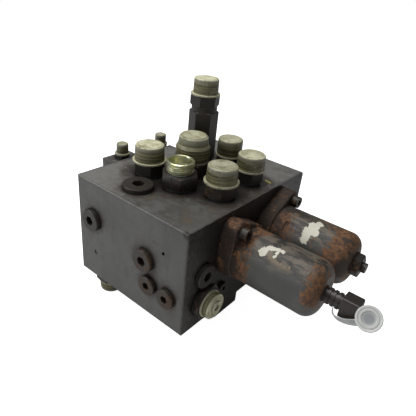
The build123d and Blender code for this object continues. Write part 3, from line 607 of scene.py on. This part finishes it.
# Valve housings: streaked dust on top, rust at the root and the end, and torn residue
housingLook = {
    "noises": {
        "cloud": (34.0, 6.0, 0.62, 6.0),
        "fine": (300.0, 5.0, 0.65, 7.0),
        "streak": (1.0, 4.0, 0.6, 3.0, (60.0, 220.0, 220.0)),
        "caked": (55.0, 5.0, 0.65, 21.0),
    },
    "black": (26.0, 4.0, 0.6, 14.0),
    "spans": {
        "pale": (0.4, 0.7),
        "above": (0.45, 0.75),
        "mottle": (0.4, 0.6),
        "root": (0.094, 0.128),          # along X, in metres
        "end": (0.166, 0.182),           # along X
        "endBelow": (-0.4, 0.15),        # how far the surface looks up
        "rust": (0.6, 0.67),
        "caked": (0.55, 0.63),
        "black": (0.5, 0.6),
        "nook": (0.45, 0.95),
    },
    "covers": {"pale": 0.5, "above": 0.8, "caked": 0.8, "black": 0.85, "residue": 0.95, "nook": 0.9},
    "rustTints": [(0.36, colours["rustDark"]), (0.56, colours["rust"]), (0.72, colours["rustPale"])],
    "moreRust": {"front": 0.0, "rear": 0.07},
    "nookReach": 0.012,
    "residueScale": 260.0,
    "bump": (0.3, 0.0008),
}

# A curl with its brown trail, and a patch: colour, raggedness, spots with their radius
residueMarks = {
    "front": [
        ("residue", 0.006, [
            ((0.1226, -0.0449, 0.0968), 0.0042),
            ((0.1236, -0.0418, 0.0990), 0.0040),
            ((0.1262, -0.0388, 0.1005), 0.0036),
            ((0.1300, -0.0370, 0.1012), 0.0030),
            ((0.1340, -0.0362, 0.1015), 0.0028),
            ((0.1380, -0.0362, 0.1015), 0.0026),
            ((0.1352, -0.0400, 0.1000), 0.0022),
            ((0.1345, -0.0432, 0.0980), 0.0020),
        ]),
        ("glue", 0.005, [
            ((0.1290, -0.0430, 0.0980), 0.0034),
            ((0.1320, -0.0455, 0.0960), 0.0030),
            ((0.1360, -0.0467, 0.0950), 0.0026),
            ((0.1400, -0.0469, 0.0951), 0.0024),
            ((0.1440, -0.0469, 0.0951), 0.0022),
            ((0.1480, -0.0469, 0.0951), 0.0020),
            ((0.1520, -0.0466, 0.0954), 0.0018),
        ]),
    ],
    "rear": [
        ("residue", 0.009, [
            ((0.1350, 0.0165, 0.0900), 0.0050),
            ((0.1353, 0.0224, 0.0966), 0.0066),
            ((0.1372, 0.0297, 0.1009), 0.0064),
            ((0.1400, 0.0356, 0.1026), 0.0046),
            ((0.1430, 0.0245, 0.0980), 0.0036),
        ]),
    ],
}


def housingPaint(node):
    side = node.split("_")[0]
    finish = Finish(side + "HousingPaint")
    span, cover = housingLook["spans"], housingLook["covers"]
    cloud, fine, streak, caked = finish.speckles(housingLook["noises"])
    low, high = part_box(node)
    middleY = (low[1] + high[1]) / 2
    x, y, up = finish.axis("X"), finish.axis("Y"), finish.facing("Z")
    base = finish.mix(cloud.between(*span["pale"]) * cover["pale"], colours["paint"], colours["paintPale"])
    above = (up + (cloud - 0.5) * 0.9).between(*span["above"])
    mottle = finish.mix(streak.between(*span["mottle"]), colours["grime"], colours["dust"])
    base = finish.mix(above * cover["above"], base, mottle)

    root = 1.0 - x.between(*span["root"])
    slanted = x + up * 0.01 + y.between(middleY - 0.03, middleY + 0.03) * 0.006
    end = slanted.between(*span["end"]) * up.between(*span["endBelow"])
    wear = cloud * 0.55 + fine * 0.45
    rusted = (wear + root * 0.24 + end * 0.17 + housingLook["moreRust"][side]).between(*span["rust"])
    base = finish.mix(rusted, base, finish.ramp(fine, housingLook["rustTints"]))
    crust = (caked + root * 0.14).between(*span["caked"]) * above.most(root)
    base = finish.mix(crust * cover["caked"], base, colours["oil"])
    if side == "rear":
        black = finish.speckle(*housingLook["black"]).between(*span["black"])
        base = finish.mix(black * cover["black"], base, colours["grime"])
    for name, ragged, spots in residueMarks[side]:
        torn = finish.blots(spots, ragged, housingLook["residueScale"])
        base = finish.mix(torn * cover["residue"], base, colours[name])
    # painted shade darkens the housing in its corners, where it meets other pieces
    nook = finish.corners(housingLook["nookReach"]).between(*span["nook"])
    base = finish.mix(nook * cover["nook"], base, colours["oil"])
    rough = 0.36 + fine * 0.15 + rusted * 0.25 + above * 0.12
    return finish.finish(colour=base, rough=rough, bump=(cloud * 0.4 + fine * 0.6, *housingLook["bump"]))


# Seals, springs, inner steel, connector and pins
plainLook = {
    "fine": (300.0, 4.0, 0.6),
    "nookReach": 0.006,
    "nook": (0.4, 1.0),
    "nookCover": 0.8,
    "edgeRadius": 0.0005,
    "edgeCover": 0.25,
}


def plainFinish(name, colour, rough, metal=0.0):
    finish = Finish(name)
    fine = finish.speckle(*plainLook["fine"])
    # painted shade darkens these pieces in their corners, where they meet other pieces
    nook = finish.corners(plainLook["nookReach"]).between(*plainLook["nook"])
    base = finish.mix(nook * plainLook["nookCover"], colour, colours["grime"])
    edge = finish.edges(plainLook["edgeRadius"])
    base = finish.mix(edge * plainLook["edgeCover"], base, colours["dust"])
    return finish.finish(colour=base, rough=rough + fine * 0.15, metal=metal)


finishes = {
    "block_paint": blockPaint(),
    "plug_steel": steel("plugSteel", colours["plugSteel"], 0.3, frontRust=0.12),
    "black_steel": steel("blackSteel", colours["blackSteel"], 0.2),
    "rusty_steel": steel("rustySteel", colours["blackSteel"], 0.6),
    "zinc_steel": steel("zincSteel", colours["zinc"], 0.1, metal=0.8),
    "inner_steel": plainFinish("innerSteel", colours["bareSteel"], 0.25, metal=1.0),
    "coil_cast": plainFinish("coilCast", colours["dullBlack"], 0.6),
    "seal_rubber": plainFinish("sealRubber", colours["dullBlack"], 0.7),
    "spring_steel": plainFinish("springSteel", colours["bareSteel"], 0.3, metal=1.0),
    "connector_plastic": plainFinish("connectorPlastic", colours["connector"], 0.3),
    "contact_brass": plainFinish("contactBrass", colours["brass"], 0.3, metal=1.0),
}
for node in nodes:
    slot = slotOf[node]
    if slot == "cap_plastic":
        dress(node, capPlastic(node))
    elif slot == "housing_paint":
        dress(node, housingPaint(node))
    elif slot in finishes:
        dress(node, finishes[slot])
print("finishes made:", len(finishes))

# Tolerances in metres and the angle past which an edge stays sharp
meshing = {"merge": 1e-6, "weld": 2e-6, "match": 2e-5, "sharp": math.radians(35)}


def copyNode(node):
    # a node's own mesh with its loose triangles joined
    mesh = bmesh.new()
    mesh.from_mesh(nodes[node].data)
    bmesh.ops.remove_doubles(mesh, verts=mesh.verts, dist=meshing["merge"])
    return mesh


def keepPiece(name, mesh, material, node):
    bmesh.ops.recalc_face_normals(mesh, faces=mesh.faces)
    for face in mesh.faces:
        face.smooth = True
    data = bpy.data.meshes.new(name)
    mesh.to_mesh(data)
    mesh.free()
    data.set_sharp_from_angle(angle=meshing["sharp"])
    data.materials.append(material)
    piece = bpy.data.objects.new(name, data)
    bpy.context.scene.collection.objects.link(piece)
    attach(piece, bodyOf[node])
    slotOf[node]
    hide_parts(node)
    return piece


# Open stud coupling with its thread cut
openStud = {
    "node": "port_b_stud",
    "pitch": 0.002,
    "depth": 0.0012,
    "chamfer": 0.0009,
    "longest": 0.02,            # the smooth wall is shorter than this
    "toothFoot": 0.1,           # shares of the pitch
    "toothCrest": (0.42, 0.58),
    "toothSunk": 0.0001,        # its foot lies this deep in the core
    "steps": 72,
    "seam": (-0.6, 0.8),        # the thread's ends lie on the side away from the camera
    "reliefHeight": 0.0022,     # from the hexagon up to the thread
}
openStudLook = {
    "noises": {"cloud": (110.0, 4.0, 0.6), "fine": (420.0, 4.0, 0.6, 2.0)},
    "spans": {
        "yellow": (0.35, 0.7),
        "groove": (0.3, 0.9),
        "rust": (0.45, 0.6),
        "rim": (0.4, 0.6),
        "fade": (-0.0006, 0.0006),       # metres above the hexagon
    },
    "reaches": {"groove": 0.003, "rim": 0.0007},
    "covers": {"groove": 0.9, "rim": 0.4},
    "rustTints": [(0.36, colours["oil"]), (0.56, colours["rustDark"]), (0.78, colours["rust"])],
    "ragged": 0.0012,
}


def openStudSteel(hexTop):
    # bare zinc on the thread and cone, rusty black below on the hexagon
    finish = Finish("openStudSteel")
    span, reach, cover = openStudLook["spans"], openStudLook["reaches"], openStudLook["covers"]
    cloud, fine = finish.speckles(openStudLook["noises"])
    bright = finish.mix(cloud.between(*span["yellow"]), colours["zinc"], colours["zincYellow"])
    # painted shade darkens the thread's grooves
    groove = finish.corners(reach["groove"]).between(*span["groove"])
    bright = finish.mix(groove * cover["groove"], bright, colours["grime"])
    red = finish.ramp(fine, openStudLook["rustTints"])
    dark = finish.mix(cloud.between(*span["rust"]), colours["blackSteel"], red)
    rim = finish.edges(reach["rim"]) * fine.between(*span["rim"])
    dark = finish.mix(rim * cover["rim"], dark, colours["dust"])
    height = finish.axis("Z") + (fine - 0.5) * openStudLook["ragged"]
    upper = height.between(*(hexTop + limit for limit in span["fade"]))
    base = finish.mix(upper, dark, bright)
    rough = 0.5 - upper * 0.25 + cloud * 0.1
    return finish.finish(colour=base, rough=rough, metal=0.25 + upper * 0.65)


def spinProfile(mesh, profile, middle, rise=0.0):
    # turns a profile of radius and height once round, and a thread's rises as it turns
    away = Vector((*openStud["seam"], 0.0)).normalized()
    verts = [
        mesh.verts.new(middle + away * radius + Vector((0.0, 0.0, height)))
        for radius, height in profile
    ]
    edges = [mesh.edges.new(pair) for pair in zip(verts, verts[1:])]
    steps = openStud["steps"]
    spun = bmesh.ops.spin(
        mesh, geom=verts + edges, cent=middle, axis=(0, 0, 1), dvec=(0, 0, rise / steps),
        angle=2 * math.pi, steps=steps, use_merge=rise == 0.0,
    )
    ends = [item for item in spun["geom_last"] if isinstance(item, bmesh.types.BMVert)]
    return verts, sorted(ends, key=lambda vertex: vertex.co.z)


def makeOpenStud():
    node = openStud["node"]
    mesh = copyNode(node)
    low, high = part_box(node)
    middle = Vector(((low[0] + high[0]) / 2, (low[1] + high[1]) / 2, 0.0))
    rimTop = high[2] - openStud["chamfer"]
    match = meshing["match"]

    def reach(vertex):
        return (Vector((vertex.co.x, vertex.co.y, 0.0)) - middle).length

    # the smooth wall comes out, and a core with the thread goes in
    outer = max(reach(vertex) for vertex in mesh.verts if abs(vertex.co.z - rimTop) < match)
    lowest = high[2] - openStud["longest"]
    onWall = {
        vertex for vertex in mesh.verts
        if abs(reach(vertex) - outer) < match and lowest < vertex.co.z < rimTop + match
    }
    foot = min(vertex.co.z for vertex in onWall)
    wall = [face for face in mesh.faces if onWall.issuperset(face.verts)]
    bmesh.ops.delete(mesh, geom=wall, context="FACES")
    depth = openStud["depth"]
    core = outer - depth
    groove = [(outer, foot), (core, foot + depth / 2), (core, rimTop - depth / 2), (outer, rimTop)]
    spinProfile(mesh, groove, middle)
    pitch, sunk = openStud["pitch"], openStud["toothSunk"]
    turns = int((rimTop - foot) / pitch) - 1
    thread = []
    for turn in range(turns + 1):
        base = foot + pitch * openStud["toothFoot"] + turn * pitch
        thread.append((core - sunk, base))
        if turn < turns:
            thread.extend((outer - sunk, base + pitch * share) for share in openStud["toothCrest"])
    first, last = spinProfile(mesh, thread, middle, pitch)
    for end in (first[:4], last[-4:]):
        # one tooth has four points, and closes the thread's end
        bmesh.ops.contextual_create(mesh, geom=end)
    bmesh.ops.remove_doubles(mesh, verts=mesh.verts, dist=meshing["weld"])
    keepPiece("openStud", mesh, openStudSteel(foot - openStud["reliefHeight"]), node)


makeOpenStud()

# Springs, which shorten as their spool or poppet moves, each kept as a plain copy that doesn't shorten:
# node, joint, axis
springs = [
    ("front_return_spring", "front_spool_slide", 0),
    ("rear_return_spring", "rear_spool_slide", 0),
    ("check_spring", "check_poppet_lift", 2),
]


def makeSprings():
    joints = {joint["name"]: joint for joint in frame["record"]["behaviour"]["joints"]}
    for node, jointName, axis in springs:
        joint = joints[jointName]
        travel = joint["range_m"][1] - joint["range_m"][0]
        low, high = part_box(node)
        fixed = next(row for row in joint["deforming_nodes"] if row["node"] == node)
        anchor = [(a + b) / 2 for a, b in zip(low, high)]
        anchor[axis] = fixed["fixed_end_x_m" if axis == 0 else "fixed_end_z_m"]
        along = tuple(1.0 if one == axis else 0.0 for one in range(3))
        keep = 1.0 - travel / (high[axis] - low[axis])
        piece = keepPiece(node + "Coil", copyNode(node), finishes["spring_steel"], node)
        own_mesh(piece)


makeSprings()

# Dust cap: a turned lid and the flat band that holds it to the connector
dustCap = {
    "node": "connector_dust_cap",
    "facing": (0.11, -0.77, 0.63),
    "radius": 0.0115,
    "steps": 64,
    "profile": [
        # share of the radius, height in metres
        (0.0, -0.0014), (0.44, -0.0014), (0.52, -0.0012), (0.56, -0.0003), (0.62, 0.0), (0.72, -0.0002),
        (0.76, -0.0007), (0.82, -0.0002), (0.93, 0.0), (0.985, -0.0005), (1.0, -0.0012), (1.0, -0.0026),
        (0.97, -0.0032), (0.88, -0.0032), (0.86, -0.0022), (0.6, -0.0022), (0.58, -0.003), (0.0, -0.003),
    ],
    "bandWidth": 0.006,
    "bandThick": 0.0006,
    "bandStart": (0.012, -0.004, -0.009),   # from the housing's end and the connector's middle
    "bandBehind": 0.003,                    # where it meets the lid
    "bandEnd": (-0.006, 0.0, -0.0085),
    "bandHandles": [(0.001, -0.003, -0.009), (0.008, 0.0, 0.007)],
    "wellTint": (0.27, 0.29, 0.3),
    "wallTint": (0.56, 0.57, 0.55),
    "lipTint": (0.66, 0.67, 0.65),
}
dustCapLook = {
    "fine": (300.0, 4.0, 0.6),
    "spans": {
        # shares of the lid's radius
        "wall": (0.3, 0.6),
        "lip": (0.8, 0.92),
        "groove": (0.01, 0.06),
        "band": (1.05, 1.2),
        "clear": (1.05, 1.3),
    },
    "grooveAt": 0.78,
    "covers": {"groove": 0.2, "band": 0.6},
    "clear": 0.88,
    "bandFade": 0.08,
}


def dustCapPlastic(centre):
    finish = Finish("dustCapPlastic")
    span, cover = dustCapLook["spans"], dustCapLook["covers"]
    fine = finish.speckle(*dustCapLook["fine"])
    away = finish.far(centre) / dustCap["radius"]
    base = finish.mix(away.between(*span["wall"]), dustCap["wellTint"], dustCap["wallTint"])
    base = finish.mix(away.between(*span["lip"]), base, dustCap["lipTint"])
    groove = 1.0 - (away - dustCapLook["grooveAt"]).size().between(*span["groove"])
    base = finish.mix(groove * cover["groove"], base, dustCap["wellTint"])
    base = finish.mix(away.between(*span["band"]) * cover["band"], base, dustCap["wellTint"])
    clear = dustCapLook["clear"] - away.between(*span["clear"]) * dustCapLook["bandFade"]
    return finish.finish(colour=base, rough=0.2 + fine * 0.2, clear=clear)


def makeLid(centre, facing, material):
    across = facing.orthogonal().normalized()
    mesh = bmesh.new()
    verts = [
        mesh.verts.new(centre + across * share * dustCap["radius"] + facing * height)
        for share, height in dustCap["profile"]
    ]
    edges = [mesh.edges.new(pair) for pair in zip(verts, verts[1:])]
    bmesh.ops.spin(
        mesh, geom=verts + edges, cent=centre, axis=facing,
        angle=2 * math.pi, steps=dustCap["steps"], use_merge=True,
    )
    bmesh.ops.remove_doubles(mesh, verts=mesh.verts, dist=meshing["merge"])
    keepPiece("dustCap", mesh, material, dustCap["node"])


def makeBand(centre, facing, material):
    # it hangs from the neck in a bow below the plug body
    low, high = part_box("front_connector")
    hold = Vector((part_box("front_housing")[1][0], (low[1] + high[1]) / 2, (low[2] + high[2]) / 2))
    start = hold + Vector(dustCap["bandStart"])
    end = centre - facing * dustCap["bandBehind"] + Vector(dustCap["bandEnd"])
    curve = bpy.data.curves.new("bandPath", "CURVE")
    curve.dimensions = "3D"
    curve.extrude = dustCap["bandWidth"]
    curve.bevel_depth = dustCap["bandThick"]
    curve.bevel_resolution = 2
    curve.resolution_u = 16
    path = curve.splines.new("BEZIER")
    path.bezier_points.add(1)
    for point, place, handle in zip(path.bezier_points, (start, end), dustCap["bandHandles"]):
        point.co = place
        point.handle_left = place - Vector(handle)
        point.handle_right = place + Vector(handle)
    holder = bpy.data.objects.new("bandPath", curve)
    bpy.context.scene.collection.objects.link(holder)
    flat = bpy.data.meshes.new_from_object(holder.evaluated_get(bpy.context.evaluated_depsgraph_get()))
    bpy.data.objects.remove(holder)
    mesh = bmesh.new()
    mesh.from_mesh(flat)
    keepPiece("dustCapBand", mesh, material, dustCap["node"])


def makeDustCap():
    facing = Vector(dustCap["facing"]).normalized()
    points = [vertex.co for vertex in nodes[dustCap["node"]].data.vertices]
    front = max(point.dot(facing) for point in points)
    rim = [point for point in points if point.dot(facing) > front - meshing["match"] / 2]
    centre = sum(rim, Vector()) / len(rim)
    material = dustCapPlastic(centre)
    makeLid(centre, facing, material)
    makeBand(centre, facing, material)


makeDustCap()
print("pieces made")
